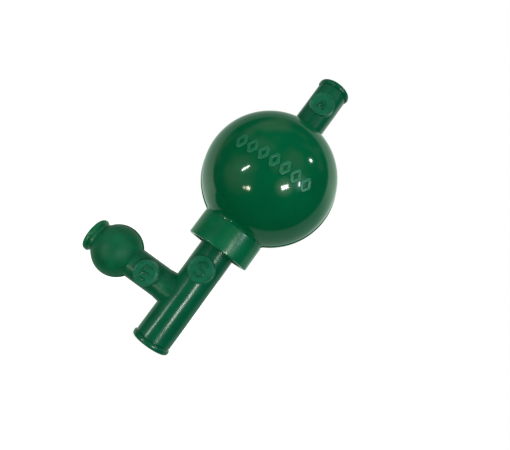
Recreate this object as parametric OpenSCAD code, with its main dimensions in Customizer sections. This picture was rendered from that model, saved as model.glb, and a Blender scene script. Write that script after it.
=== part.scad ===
// Three-valve pipette filler bulb.
// The origin is the centre of the pipette socket's mouth. +Z runs up the main axis to the air tube,
// the expel branch points along -X, and the valve pads face -Y.

/* [Main bulb] */
// Outer diameter of the main bulb
bulb_d = 62; // [60:0.5:64]
// Wall thickness of the main bulb
bulb_wall = 2.2; // [1.8:0.1:2.4]
// Height of the bulb's centre above the socket mouth
bulb_z = 89.8; // [89:0.1:91]
// Diameter of the round wall that moves in when the bulb is squeezed
grip_d = 44; // [40:1:44]

/* [Neck] */
// Outer diameter of the collar round the bulb's neck
collar_d = 30.2; // [29:0.1:31]
// Wall thickness of the collar
collar_wall = 2.4; // [2:0.1:2.8]
// Height of the collar's lower rim
collar_z = 49.4; // [48:0.1:51]
// Length of the collar's full-width part
collar_h = 12.2; // [11:0.1:12.4]
// Depth of the ring-shaped recess inside the collar
recess_h = 5; // [3:0.5:7]

/* [Tubes] */
// Outer diameter of the suction tube
suction_d = 16.6; // [16:0.1:17]
// Outer diameter of the expel branch
expel_d = 13.9; // [13.5:0.1:14.2]
// Outer diameter of the air tube
air_d = 14.6; // [14:0.1:15]
// Height of the expel branch's axis
expel_z = 23.8; // [23:0.1:25]
// Height of the air tube's mouth
air_z = 144.5; // [143:0.5:146]
// Diameter of the air passages
bore_d = 5.2; // [4.6:0.1:5.6]
// Width of the rounded bead at each mouth
bead_h = 2.5; // [2:0.1:3]
// How far a bead stands out from its tube
bead_out = 0.6; // [0.4:0.1:0.8]

/* [Pipette socket] */
// Diameter of the socket that grips the pipette
socket_d = 7.6; // [7:0.1:8]
// Depth of the socket
socket_h = 16; // [14:0.5:17]

/* [Side bulb] */
// Outer diameter of the side bulb
side_d = 22.8; // [22:0.1:23.5]
// Wall thickness of the side bulb
side_wall = 1.8; // [1.5:0.1:2]
// Distance of the side bulb's centre from the main axis
side_x = 36; // [35.5:0.1:37]
// Diameter of the round wall that moves in on the side bulb
side_grip_d = 14; // [12:0.5:14]
// Distance of the side bulb's mouth from the main axis
mouth_x = 49.2; // [48.8:0.1:50]
// Diameter of the flared lip at that mouth
mouth_d = 15.4; // [14:0.1:15.6]
// Diameter of the short neck under the lip
mouth_neck_d = 12.8; // [12:0.1:13.4]
// Thickness of the flared lip
lip_h = 2.2; // [1.8:0.1:2.4]
// Diameter of the hole through the lip and neck
mouth_hole_d = 6.4; // [6:0.1:7]

/* [Valves] */
// Diameter of each glass valve ball
ball_d = 7; // [6.6:0.1:7.2]
// Travel of a valve pad when it is pinched
pad_travel = 0.9; // [0.5:0.1:1]
// How far a pad stands out from its tube
pad_proud = 0.65; // [0.5:0.05:0.8]
// Height of the raised rim and letter on a pad
mark_h = 0.3; // [0.2:0.05:0.4]
// Width of the strokes of a letter
stroke = 0.9; // [0.7:0.05:1.1]
// Height of a letter
letter_h = 6.4; // [5.8:0.1:6.6]
// Width of a letter
letter_w = 4; // [3.6:0.1:4.4]
// Diameter of the suction pad
suction_pad_d = 11.7; // [11:0.1:12]
// Diameter of the expel pad
expel_pad_d = 10.9; // [10.4:0.1:11.2]
// Diameter of the air pad
air_pad_d = 11.2; // [10.6:0.1:11.6]
// Height of the suction pad's centre
suction_pad_z = 38.6; // [37:0.1:40]
// Distance of the expel pad's centre from the main axis
expel_pad_x = 18.4; // [17.5:0.1:19]
// Height of the air pad's centre
air_pad_z = 131.4; // [130:0.1:133]

/* [Grip marks] */
// Number of raised lozenge outlines across the front of the bulb
lozenges = 7; // [3:2:7]
// Distance between neighbouring lozenges
lozenge_pitch = 5; // [4.6:0.1:5.4]
// Height of a lozenge
lozenge_h = 7; // [5:0.5:8]
// Width of a lozenge
lozenge_w = 4.4; // [3.6:0.1:4.5]
// Width of a lozenge's outline
lozenge_line = 0.8; // [0.5:0.1:1]
// How far the lozenges stand out from the bulb
lozenge_out = 0.5; // [0.3:0.1:0.7]

/* [Mould parting ridge] */
// How far the ridge stands out round the bulbs, in the plane where the mould halves met
ridge_out = 0.5; // [0.2:0.1:0.6]
// Width of the ridge
ridge_w = 0.8; // [0.6:0.1:1.2]

/* [Hidden] */
$fn = 96;
bulb_r = bulb_d / 2;
bulb_in_r = bulb_r - bulb_wall;
side_r = side_d / 2;
side_in_r = side_r - side_wall;
collar_r = collar_d / 2;
collar_in_r = collar_r - collar_wall;
collar_top_z = collar_z + collar_h;
bore_r = bore_d / 2;
// Gap round a wall that moves in, and round a pad in its pocket
wall_gap = 0.3;
pad_gap = 0.15;
// Clearance where two moulded pieces of one body meet
joint_gap = 0.02;
// Rubber left between the pad's pocket and the ball
pocket_depth = 2.4;
// Depth of the flat shoulder at the sides of a pocket, from the tube's axis
pocket_shoulder = 3;
// Play round a valve ball
ball_play = 0.05;
// Radius of the collar's rounded upper edge, and the step in above it
collar_round = 0.7;
// How far the neck above the collar flares past it before it meets the bulb
flare_out = 0.7;
// Radius of the groove between a bead and its tube
groove_r = 0.35;
// Width of the raised rim on a pad
rim_w = 0.7;
// Longer than the whole part, for cutting right through
far = 200;
bulb_green = [0.02, 0.33, 0.2];
tube_green = [0.04, 0.37, 0.23];
pad_green = [0.09, 0.43, 0.28];
plug_green = [0.01, 0.22, 0.13];
ball_glass = [0.8, 0.86, 0.86, 0.6];

// Turns a shape drawn along +Z so that it runs along -X from the main axis at the branch's height
module along_branch() {
    translate([0, 0, expel_z]) rotate([0, -90, 0]) children();
}

// Turns a flat drawing to face -Y, with its own y along +Z
module facing_front() {
    rotate([90, 0, 0]) children();
}

// A hollow ball of the given outer and inner radii
module hollow_ball(outer_r, inner_r) {
    difference() {
        sphere(r = outer_r);
        sphere(r = inner_r);
    }
}

// The round wall of a hollow ball that faces along dir (-1 is the front, 1 is the back)
module pressed_wall(outer_r, inner_r, wall_r, dir) {
    intersection() {
        hollow_ball(outer_r, inner_r);
        rotate([-90 * dir, 0, 0]) cylinder(r = wall_r, h = 2 * outer_r);
    }
}

// A plain tube with a rounded bead at its lower end and a groove above the bead
module beaded_tube(r, h, in_r) {
    bead_r = bead_h / 2;
    rotate_extrude() difference() {
        union() {
            translate([in_r, 0]) square([r - in_r, h]);
            translate([in_r, 0]) square([r + bead_out - bead_r - in_r, bead_h]);
            translate([r + bead_out - bead_r, bead_r]) circle(r = bead_r);
        }
        translate([r, bead_h + groove_r]) circle(r = groove_r);
    }
}

// The pocket that a pad sinks into, cut from a tube that runs along Z, centred on the pad
module pad_pocket(tube_r, pad_r) {
    difference() {
        translate([0, -pocket_shoulder, 0]) facing_front() cylinder(r = pad_r + pad_gap, h = far);
        cylinder(r = tube_r - pocket_depth, h = far, center = true);
    }
}

// A valve pad on a tube that runs along Z: a flat disc with a raised rim, hollowed to the tube
module pad_disc(tube_r, pad_r) {
    lift = pad_travel + pad_gap;
    face = tube_r + pad_proud;
    difference() {
        translate([0, -pocket_shoulder - lift, 0]) facing_front()
            cylinder(r = pad_r, h = face - pocket_shoulder - lift);
        translate([0, -lift, 0]) cylinder(r = tube_r - pocket_depth, h = far, center = true);
    }
    translate([0, -face, 0]) facing_front() linear_extrude(mark_h) difference() {
        circle(r = pad_r);
        circle(r = pad_r - rim_w);
    }
}

// A raised letter on a pad's face, drawn upright with +Z up
module pad_letter(tube_r) {
    translate([0, -tube_r - pad_proud, 0]) facing_front() linear_extrude(mark_h) children();
}

// The letter A from two leaning strokes and a cross stroke
module letter_a() {
    lean = atan((letter_w - stroke) / 2 / letter_h);
    intersection() {
        union() {
            for (side = [-1, 1])
                translate([side * (letter_w - stroke) / 2, -letter_h / 2])
                    rotate(side * lean)
                    translate([-stroke / 2, -stroke]) square([stroke, letter_h + 2 * stroke]);
            translate([-letter_w / 4, -letter_h / 5]) square([letter_w / 2, stroke]);
        }
        square([letter_w, letter_h], center = true);
    }
}

// The letter E from one upright and three arms
module letter_e() {
    translate([-letter_w / 2, -letter_h / 2]) square([stroke, letter_h]);
    for (level = [0, 0.5, 1])
        translate([-letter_w / 2, (level - 0.5) * (letter_h - stroke) - stroke / 2])
            square([letter_w, stroke]);
}

// The letter S from two open rings, each with one quarter cut away
module letter_s() {
    ring_r = (letter_h + stroke) / 4;
    for (turn = [0, 180])
        rotate(turn) translate([0, ring_r - stroke / 2]) difference() {
            circle(r = ring_r);
            circle(r = ring_r - stroke);
            translate([0, -ring_r]) square([ring_r, ring_r]);
        }
}

// A lozenge of the given half width and half height, centred
module lozenge(half_w, half_h) {
    polygon([[half_w, 0], [0, half_h], [-half_w, 0], [0, -half_h]]);
}

// The outline of one lozenge, with the same line width on all four sides
module lozenge_outline() {
    half_w = lozenge_w / 2;
    half_h = lozenge_h / 2;
    inner = 1 - lozenge_line * sqrt(1 / half_w ^ 2 + 1 / half_h ^ 2);
    difference() {
        lozenge(half_w, half_h);
        lozenge(half_w * inner, half_h * inner);
    }
}

// The thin ridge round a ball in the plane where the mould halves met
module parting_ridge(ball_r) {
    rotate([90, 0, 0]) rotate_extrude() translate([ball_r - ridge_out, -ridge_w / 2])
        square([2 * ridge_out, ridge_w]);
}

// Main bulb's fixed part: the ring between the two walls that move in, with the parting ridge
module bulb_shell() {
    color(bulb_green) translate([0, 0, bulb_z]) {
        difference() {
            hollow_ball(bulb_r, bulb_in_r);
            facing_front() cylinder(d = grip_d, h = far, center = true);
            translate([0, 0, -far]) cylinder(r = collar_in_r, h = far);
            cylinder(r = bore_r, h = far);
        }
        difference() {
            parting_ridge(bulb_r);
            translate([0, 0, -far]) cylinder(r = collar_r + flare_out, h = far);
            cylinder(r = air_d / 2 + joint_gap, h = far);
        }
    }
}

module bulb_front_wall() {
    color(bulb_green) translate([0, 0, bulb_z])
        pressed_wall(bulb_r, bulb_in_r, grip_d / 2 - wall_gap, -1);
}

module bulb_back_wall() {
    color(bulb_green) translate([0, 0, bulb_z])
        pressed_wall(bulb_r, bulb_in_r, grip_d / 2 - wall_gap, 1);
}

// Row of raised lozenge outlines that follows the front wall's curve
module grip_marks() {
    color(bulb_green) translate([0, 0, bulb_z]) intersection() {
        hollow_ball(bulb_r + lozenge_out, bulb_r + joint_gap);
        facing_front() linear_extrude(far) for (i = [0 : lozenges - 1])
            translate([(i - (lozenges - 1) / 2) * lozenge_pitch, 0]) lozenge_outline();
    }
}

// Thick collar round the bulb's neck, with a rounded upper edge, a step in and a flare to the bulb
module neck_collar() {
    color(tube_green) difference() {
        union() {
            translate([0, 0, collar_z]) cylinder(r = collar_r, h = collar_h - collar_round);
            translate([0, 0, collar_top_z - collar_round]) rotate_extrude()
                translate([collar_r - collar_round, 0]) circle(r = collar_round);
            translate([0, 0, collar_z]) cylinder(r = collar_r - collar_round, h = collar_h);
            translate([0, 0, collar_top_z])
                cylinder(r1 = collar_r - collar_round, r2 = collar_r + flare_out, h = bulb_wall);
        }
        cylinder(r = collar_in_r, h = far);
        translate([0, 0, bulb_z]) sphere(r = bulb_r + joint_gap);
    }
}

// Flange at the top of the valve body that seals it in the collar
module neck_plug() {
    plug_z = collar_z + recess_h;
    color(plug_green) translate([0, 0, plug_z]) difference() {
        cylinder(r = collar_in_r - joint_gap, h = collar_top_z + bulb_wall - plug_z);
        translate([0, 0, -1]) cylinder(r = suction_d / 2 + joint_gap, h = far);
    }
}

// Air tube on top of the bulb, with its bead, passage, ball pocket and pad pocket
module air_tube() {
    color(tube_green) difference() {
        translate([0, 0, air_z]) mirror([0, 0, 1])
            beaded_tube(air_d / 2, air_z - bulb_z - bulb_in_r, bore_r);
        translate([0, 0, bulb_z]) sphere(r = bulb_r + joint_gap);
        translate([0, 0, air_pad_z]) sphere(d = ball_d + 2 * ball_play);
        translate([0, 0, air_pad_z]) pad_pocket(air_d / 2, air_pad_d / 2);
    }
}

module air_ball() {
    color(ball_glass) translate([0, 0, air_pad_z]) sphere(d = ball_d);
}

module air_pad() {
    color(pad_green) translate([0, 0, air_pad_z]) {
        pad_disc(air_d / 2, air_pad_d / 2);
        pad_letter(air_d / 2) letter_a();
    }
}

// Suction tube: pipette socket at the bottom, branch opening, ball pocket and pad pocket
module suction_tube() {
    color(tube_green) difference() {
        beaded_tube(suction_d / 2, collar_top_z + bulb_wall, bore_r);
        translate([0, 0, -1]) cylinder(d = socket_d, h = socket_h + 1);
        along_branch() cylinder(r = bore_r, h = suction_d);
        translate([0, 0, suction_pad_z]) sphere(d = ball_d + 2 * ball_play);
        translate([0, 0, suction_pad_z]) pad_pocket(suction_d / 2, suction_pad_d / 2);
    }
}

module suction_ball() {
    color(ball_glass) translate([0, 0, suction_pad_z]) sphere(d = ball_d);
}

module suction_pad() {
    color(pad_green) translate([0, 0, suction_pad_z]) {
        pad_disc(suction_d / 2, suction_pad_d / 2);
        pad_letter(suction_d / 2) letter_s();
    }
}

// Expel branch between the suction tube and the side bulb
module expel_tube() {
    color(tube_green) difference() {
        along_branch() cylinder(d = expel_d, h = side_x);
        along_branch() cylinder(r = bore_r, h = side_x + 1);
        cylinder(d = suction_d + 2 * joint_gap, h = far);
        along_branch() translate([0, 0, side_x]) sphere(r = side_r + joint_gap);
        along_branch() translate([0, 0, expel_pad_x]) sphere(d = ball_d + 2 * ball_play);
        along_branch() translate([0, 0, expel_pad_x]) pad_pocket(expel_d / 2, expel_pad_d / 2);
    }
}

module expel_ball() {
    color(ball_glass) along_branch() translate([0, 0, expel_pad_x]) sphere(d = ball_d);
}

module expel_pad() {
    color(pad_green) {
        along_branch() translate([0, 0, expel_pad_x]) pad_disc(expel_d / 2, expel_pad_d / 2);
        translate([-expel_pad_x, 0, expel_z]) pad_letter(expel_d / 2) letter_e();
    }
}

// Side bulb's fixed part: the ring between its two walls that move in, with the parting ridge
module side_bulb_shell() {
    color(bulb_green) translate([-side_x, 0, expel_z]) {
        difference() {
            hollow_ball(side_r, side_in_r);
            facing_front() cylinder(d = side_grip_d, h = far, center = true);
            rotate([0, 90, 0]) cylinder(r = bore_r, h = far);
            rotate([0, -90, 0]) cylinder(d = mouth_hole_d, h = far);
        }
        difference() {
            parting_ridge(side_r);
            rotate([0, 90, 0]) cylinder(d = expel_d + 2 * joint_gap, h = far);
            rotate([0, -90, 0]) cylinder(d = mouth_neck_d + 2 * joint_gap, h = far);
        }
    }
}

module side_bulb_front_wall() {
    color(bulb_green) translate([-side_x, 0, expel_z])
        pressed_wall(side_r, side_in_r, side_grip_d / 2 - wall_gap, -1);
}

module side_bulb_back_wall() {
    color(bulb_green) translate([-side_x, 0, expel_z])
        pressed_wall(side_r, side_in_r, side_grip_d / 2 - wall_gap, 1);
}

// Short neck and flared lip at the side bulb's mouth
module side_bulb_mouth() {
    lip_round = lip_h / 2;
    hole_r = mouth_hole_d / 2;
    color(tube_green) difference() {
        along_branch() translate([0, 0, mouth_x]) mirror([0, 0, 1]) rotate_extrude() {
            translate([hole_r, 0]) square([mouth_neck_d / 2 - hole_r, side_r]);
            translate([hole_r, 0]) square([mouth_d / 2 - lip_round - hole_r, lip_h]);
            translate([mouth_d / 2 - lip_round, lip_round]) circle(r = lip_round);
        }
        translate([-side_x, 0, expel_z]) sphere(r = side_r + joint_gap);
    }
}

bulb_shell();
bulb_front_wall();
bulb_back_wall();
grip_marks();
neck_collar();
neck_plug();
air_tube();
air_ball();
air_pad();
suction_tube();
suction_ball();
suction_pad();
expel_tube();
expel_ball();
expel_pad();
side_bulb_shell();
side_bulb_front_wall();
side_bulb_back_wall();
side_bulb_mouth();
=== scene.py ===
"""Three-valve pipette filler bulb: its soft skins, raised marks, materials and studio.

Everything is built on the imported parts, in metres and in their frame."""
import math

import bmesh
import bpy
from bpy.props import FloatProperty, FloatVectorProperty, IntProperty, PointerProperty
from mathutils import Matrix, Vector, noise


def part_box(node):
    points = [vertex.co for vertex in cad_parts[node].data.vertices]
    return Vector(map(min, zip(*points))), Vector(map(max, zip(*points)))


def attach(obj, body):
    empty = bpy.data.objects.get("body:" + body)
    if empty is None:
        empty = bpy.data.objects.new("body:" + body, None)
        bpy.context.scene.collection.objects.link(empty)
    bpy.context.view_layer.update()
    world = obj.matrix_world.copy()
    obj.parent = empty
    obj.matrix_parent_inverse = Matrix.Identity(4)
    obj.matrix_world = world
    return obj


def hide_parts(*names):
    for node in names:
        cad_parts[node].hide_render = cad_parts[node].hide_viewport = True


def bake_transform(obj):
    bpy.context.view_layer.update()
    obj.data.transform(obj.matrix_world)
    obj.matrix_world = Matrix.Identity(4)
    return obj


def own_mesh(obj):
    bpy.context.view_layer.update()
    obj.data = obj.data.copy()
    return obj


bl_info = {
    "name": "Pipette filler bulb",
    "version": (1, 0, 0),
    "blender": (4, 5, 0),
    "location": "3D View > Sidebar > Filler",
    "description": "Skins, marks, materials and studio of a three-valve pipette filler bulb",
    "category": "Add Mesh",
}

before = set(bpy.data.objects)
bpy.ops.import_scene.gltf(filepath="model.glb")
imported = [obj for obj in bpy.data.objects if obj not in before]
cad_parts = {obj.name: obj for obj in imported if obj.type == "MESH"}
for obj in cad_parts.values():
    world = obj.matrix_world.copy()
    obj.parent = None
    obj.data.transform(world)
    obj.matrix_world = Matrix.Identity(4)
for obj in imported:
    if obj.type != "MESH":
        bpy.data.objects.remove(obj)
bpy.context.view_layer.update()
MM = 0.001
# An edge that turns further than this stays crisp
SHARP_ANGLE = math.radians(50)


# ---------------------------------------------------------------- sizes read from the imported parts

def middle(node):
    """The middle of a part's box."""
    low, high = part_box(node)
    return (low + high) / 2


def half_size(node):
    """Half of a part's box along each axis."""
    low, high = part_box(node)
    return (high - low) / 2


BULB_CENTRE = Vector((0, 0, middle("bulb_front_wall").z))
BULB_R = -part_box("bulb_front_wall")[0].y
SIDE_CENTRE = middle("side_bulb_front_wall") * Vector((1, 0, 1))
SIDE_R = -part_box("side_bulb_front_wall")[0].y
COLLAR_R = half_size("neck_collar").x
COLLAR_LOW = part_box("neck_collar")[0].z
PLUG_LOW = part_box("neck_plug")[0].z
PLUG_R = half_size("neck_plug").x
SUCTION_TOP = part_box("suction_tube")[1].z
AIR_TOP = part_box("air_tube")[1].z
LIP_R = half_size("side_bulb_mouth").y
MOUTH_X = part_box("side_bulb_mouth")[0].x
EXPEL_R = half_size("expel_tube").y
# Unevenness of turned rubber: the distance between two soft waves, and their depth
WAVE_SIZE = 9 * MM
WAVE_DEPTH = 0.06 * MM
LIP_WAVE_DEPTH = 0.05 * MM
# Half the width of the parting line along a tube
SEAM_HALF = 0.35 * MM


# ---------------------------------------------------------------- colours and properties

def srgb(code):
    """Turns a six-digit sRGB hex code into linear red, green and blue."""
    parts = [int(code[i:i + 2], 16) / 255 for i in (1, 3, 5)]
    return tuple(c / 12.92 if c <= 0.04045 else ((c + 0.055) / 1.055) ** 2.4 for c in parts)


def length(name, description, millimetres, most):
    """A length property whose default and highest value are given in millimetres."""
    return FloatProperty(name=name, description=description, default=millimetres * MM, min=0,
                         max=most * MM, precision=5, subtype="DISTANCE", unit="LENGTH")


def colour(name, description, code):
    """A colour property whose default is an sRGB hex code."""
    return FloatVectorProperty(name=name, description=description, default=srgb(code), min=0, max=1,
                               subtype="COLOR", size=3)


class BulbSettings(bpy.types.PropertyGroup):
    """Sizes and colours of the main bulb and the side bulb"""
    wall: length("Wall", "Thickness of the main bulb's wall", 2.2, 3)
    side_wall: length("Side wall", "Thickness of the side bulb's wall", 1.8, 2.4)
    ridge_out: length("Ridge height", "How far the mould parting ridge stands out", 0.45, 0.6)
    ridge_width: length("Ridge width", "Half the width of the mould parting ridge", 0.45, 1)
    neck_step: length("Neck step", "How far the neck stands back from the collar below it", 0.5, 1)
    neck_flare: length("Neck flare", "Radius of the hollow curve from the neck to the bulb", 2.2, 4)
    top_flare: length("Top flare", "Radius of the hollow curve from the air tube to the bulb", 1.0, 3)
    ripple: length("Ripple", "Depth of the soft unevenness of the moulded rubber", 0.05, 0.3)
    ripple_size: length("Ripple size", "Distance between two soft uneven places", 14, 40)
    gloss_colour: colour("Bulb colour", "Green of the glossy main bulb", "#006942")
    satin_colour: colour("Side bulb colour", "Green of the satin side bulb", "#046b46")


class TubeSettings(bpy.types.PropertyGroup):
    """Sizes and colours of the tubes, the collar, the plug and the side bulb's mouth"""
    bead_out: length("Bead height", "How far a mouth's bead stands out from its tube", 0.6, 1)
    bead_width: length("Bead width", "Width of a mouth's bead", 2.5, 4)
    bore: length("Bore", "Radius of the air passages", 2.6, 3)
    socket_r: length("Socket radius", "Radius of the pipette socket", 3.8, 4)
    socket_depth: length("Socket depth", "Depth of the pipette socket", 16, 17)
    vent_r: length("Vent radius", "Radius of the hole in the side bulb's mouth", 3.2, 3.5)
    collar_height: length("Collar height", "Length of the collar round the bulb's neck", 12.2, 13)
    branch_flare: length("Branch flare", "How far the branch widens at the suction tube", 0.35, 0.8)
    lip: length("Lip", "Thickness of the side bulb's flared lip", 2.2, 3)
    neck_in: length("Neck step", "How far the side bulb's neck stands back from its lip", 0.95, 2)
    seam_out: length("Seam height", "How far the parting line stands out along a tube", 0.12, 0.3)
    tube_colour: colour("Tube colour", "Green of the moulded tubes", "#036546")
    collar_colour: colour("Collar colour", "Lighter green of the collar", "#05734b")
    # The plug's dark green is painted shade for the recess inside the collar
    plug_painted_shade_colour: colour("Plug colour", "Dark green of the plug inside the collar", "#013a22")


class PadSettings(bpy.types.PropertyGroup):
    """Sizes and colours of the valve pads and their letters"""
    rim_height: length("Rim height", "How far a pad's rim stands out from its face", 0.3, 0.4)
    letter_height: length("Letter relief", "How far a pad's letter stands out from its face", 0.5, 0.6)
    rim_width: length("Rim width", "Width of the raised rim round a pad", 0.7, 1.2)
    edge_round: length("Edge rounding", "Radius of a pad's rounded edges", 0.22, 0.4)
    foot: length("Foot", "Radius of the curve where a pad meets its tube", 0.45, 0.8)
    stroke: length("Stroke", "Width of a letter's strokes", 1.0, 1.4)
    pad_colour: colour("Pad colour", "Lighter green of the dull valve pads", "#117455")
    # The letters' darker green is painted shade, standing in for the shaded sides of their raised strokes
    letter_painted_shade_colour: colour("Letter colour", "Darker green of the pads' letters", "#0a6644")


class MarkSettings(bpy.types.PropertyGroup):
    """Sizes and colour of the row of lozenges"""
    count: IntProperty(name="Lozenges", description="Number of raised lozenges", default=7, min=3, max=7)
    pitch: length("Pitch", "Distance between neighbouring lozenges", 5.2, 5.4)
    width: length("Width", "Width of a lozenge between its line's middles", 3.5, 4.4)
    height: length("Height", "Height of a lozenge between its line's middles", 6, 7)
    line: length("Line", "Width of a lozenge's raised line", 1.5, 1.8)
    relief: length("Relief", "How far a lozenge's line stands out from the bulb", 0.45, 0.6)
    corner: length("Corner", "Radius of a lozenge's corners", 0.35, 1)
    # The lozenges' paler green is painted sheen, standing in for light caught by their tops and edges
    mark_painted_sheen_colour: colour("Mark colour", "Green of the etched tops of the lozenges", "#14805a")


class StageSettings(bpy.types.PropertyGroup):
    """The floor, the lamps and the camera"""
    floor_size: length("Floor size", "Width of the floor", 24000, 40000)
    lamp_power: FloatProperty(name="Lamp power", description="Factor on the brightness of every lamp",
                              default=1.0, min=0, max=10, subtype="FACTOR")
    lamp_distance: length("Lamp distance", "Distance of the lamps from the bulb", 900, 3000)
    lens: FloatProperty(name="Lens", description="Focal length of the camera", default=31.17, min=10,
                        max=200, subtype="DISTANCE_CAMERA")
    floor_colour: colour("Floor colour", "Pale colour of the floor", "#f4f5f4")


# ---------------------------------------------------------------- meshes

def mesh_piece(name, points, faces, material):
    """A smooth mesh object with its normals turned outwards, at the origin."""
    mesh = bpy.data.meshes.new(name)
    mesh.from_pydata(points, [], faces)
    shape = bmesh.new()
    shape.from_mesh(mesh)
    bmesh.ops.recalc_face_normals(shape, faces=shape.faces)
    for edge in shape.edges:
        edge.smooth = edge.calc_face_angle(0) < SHARP_ANGLE
    shape.to_mesh(mesh)
    shape.free()
    mesh.polygons.foreach_set("use_smooth", [True] * len(mesh.polygons))
    mesh.materials.append(material)
    piece = bpy.data.objects.new(name, mesh)
    bpy.context.scene.collection.objects.link(piece)
    return piece


def rounded_outline(corners, step=0.6 * MM, arc_steps=6):
    """Closed outline from corners (radius, height, fillet): fillets as arcs, straight runs in steps."""
    outline = []
    for i, (r, h, fillet) in enumerate(corners):
        here = Vector((r, h))
        before = Vector(corners[i - 1][:2]) - here
        after = Vector(corners[(i + 1) % len(corners)][:2]) - here
        turn = before.angle(after)
        back = fillet / math.tan(turn / 2)
        if fillet:
            bisector = (before.normalized() + after.normalized()).normalized()
            centre = here + bisector * fillet / math.sin(turn / 2)
            start = here + before.normalized() * back - centre
            finish = here + after.normalized() * back - centre
            sweep = start.angle_signed(finish)
            for k in range(arc_steps + 1):
                angle = -sweep * k / arc_steps
                c, s = math.cos(angle), math.sin(angle)
                outline.append(centre + Vector((start.x * c - start.y * s, start.x * s + start.y * c)))
        else:
            outline.append(here)
    return subdivided(outline, step)


def subdivided(outline, step):
    """The same closed outline with points no further apart than step."""
    fine = []
    for i, point in enumerate(outline):
        following = outline[(i + 1) % len(outline)]
        parts = max(1, math.ceil((following - point).length / step))
        fine += [point.lerp(following, k / parts) for k in range(parts)]
    return fine


def seam_angles(around, seam_half):
    """Angles round a tube, evenly spaced, with closer ones at the two parting lines."""
    angles = [2 * math.pi * i / around for i in range(around)]
    near = [seam_half * k for k in (-1, -0.6, -0.3, 0.3, 0.6, 1)]
    for seam in (0, math.pi):
        clear = []
        for angle in angles:
            gap = abs((angle - seam + math.pi) % (2 * math.pi) - math.pi)
            if angle == seam or gap > 1.2 * seam_half:
                clear.append(angle)
        angles = clear + [(seam + a) % (2 * math.pi) for a in near]
    return sorted(set(angles))


def turned_piece(name, outline, material, place=Matrix(), seam_out=0.0, ripple=0.0, around=144):
    """A closed outline of (radius, height) turned round local Z, with a parting line on both sides."""
    outer = max(p.x for p in outline)
    seam_half = SEAM_HALF / outer
    angles = seam_angles(around, seam_half)
    points = []
    for angle in angles:
        off_seam = abs((angle + math.pi / 2) % math.pi - math.pi / 2) / seam_half
        ridge = seam_out * max(0, 1 - off_seam ** 2)
        for p in outline:
            grown = p.x + (ridge if p.x > 0.75 * outer else 0)
            point = Vector((grown * math.cos(angle), grown * math.sin(angle), p.y))
            wave = noise.noise(point / WAVE_SIZE) * ripple
            points.append(place @ (point + Vector((math.cos(angle), math.sin(angle), 0)) * wave))
    rows, ring = len(angles), len(outline)
    faces = [(a * ring + b, a * ring + (b + 1) % ring,
              (a + 1) % rows * ring + (b + 1) % ring, (a + 1) % rows * ring + b)
             for a in range(rows) for b in range(ring)]
    return mesh_piece(name, points, faces, material)


def bulb_outline(radius, lower, upper, steps=112, flare_steps=8):
    """Outer outline (radius, height) of a bulb from its lower neck to its upper one.

    Heights are from the bulb's centre. lower and upper are (hole radius, neck radius, flare radius),
    and the flare is the hollow curve from neck to ball."""
    ends = []
    for sign, (hole_r, neck_r, flare) in ((-1, lower), (1, upper)):
        lift = sign * math.sqrt((radius + flare) ** 2 - (neck_r + flare) ** 2)
        meets = math.atan2(lift, neck_r + flare)
        turns = [math.pi + meets * k / flare_steps for k in range(flare_steps)]
        curve = [(neck_r + flare + flare * math.cos(a), lift + flare * math.sin(a)) for a in turns]
        ends.append((meets, [(hole_r, lift), ((hole_r + neck_r) / 2, lift), *curve]))
    (low, bottom), (high, top) = ends
    ball = [(radius * math.cos(a), radius * math.sin(a))
            for a in (low + (high - low) * k / steps for k in range(steps + 1))]
    return bottom + ball + top[::-1]


# Below 1, the ridge's sides bulge outwards instead of running straight to its top
RIDGE_BULGE = 0.7


def half_bulb(name, centre, radius, wall, lower, upper, to_axis, side, settings, material, columns=144):
    """One moulded half of a hollow ball with a neck at each end, and half of the parting ridge.

    to_axis turns local Z onto the bulb's axis. side is -1 for the front half and 1 for the back."""
    outline = bulb_outline(radius, lower, upper)
    inner_r = radius - wall
    low, high = -math.acos(lower[0] / inner_r), math.acos(upper[0] / inner_r)
    last = len(outline) - 1
    inside = [(inner_r * math.cos(a), inner_r * math.sin(a))
              for a in (low + (high - low) * k / last for k in range(last + 1))]
    points = []
    for layer in (outline, inside):
        for r, h in layer:
            for j in range(columns + 1):
                turn = math.pi * (1 - math.cos(math.pi * j / columns)) / 2
                out = to_axis @ Vector((r * math.cos(turn), side * r * math.sin(turn), h))
                if layer is outline:
                    off_seam = r * math.sin(turn) / settings.ridge_width
                    grown = settings.ridge_out * max(0, 1 - off_seam) ** RIDGE_BULGE
                    grown += settings.ripple * noise.noise((centre + out) / settings.ripple_size)
                    out += out.normalized() * grown
                points.append(centre + out)
    row = columns + 1
    back = row * (last + 1)
    faces = []
    for i in range(last):
        for j in range(columns):
            corners = [(i + a) * row + j + b for a, b in ((0, 0), (0, 1), (1, 1), (1, 0))]
            faces += [corners, [back + c for c in corners]]
        for j in (0, columns):
            faces.append([i * row + j, (i + 1) * row + j, back + (i + 1) * row + j, back + i * row + j])
    for i in (0, last):
        for j in range(columns):
            faces.append([i * row + j, i * row + j + 1, back + i * row + j + 1, back + i * row + j])
    return mesh_piece(name, points, faces, material)


# How deep a pad's closed underside and the edge of its foot lie below its tube's surface
PAD_ROOT = 0.8 * MM
FOOT_SINK = 0.03 * MM
# A pad's side wall is at least this high
LEAST_WALL = 0.02 * MM


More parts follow.
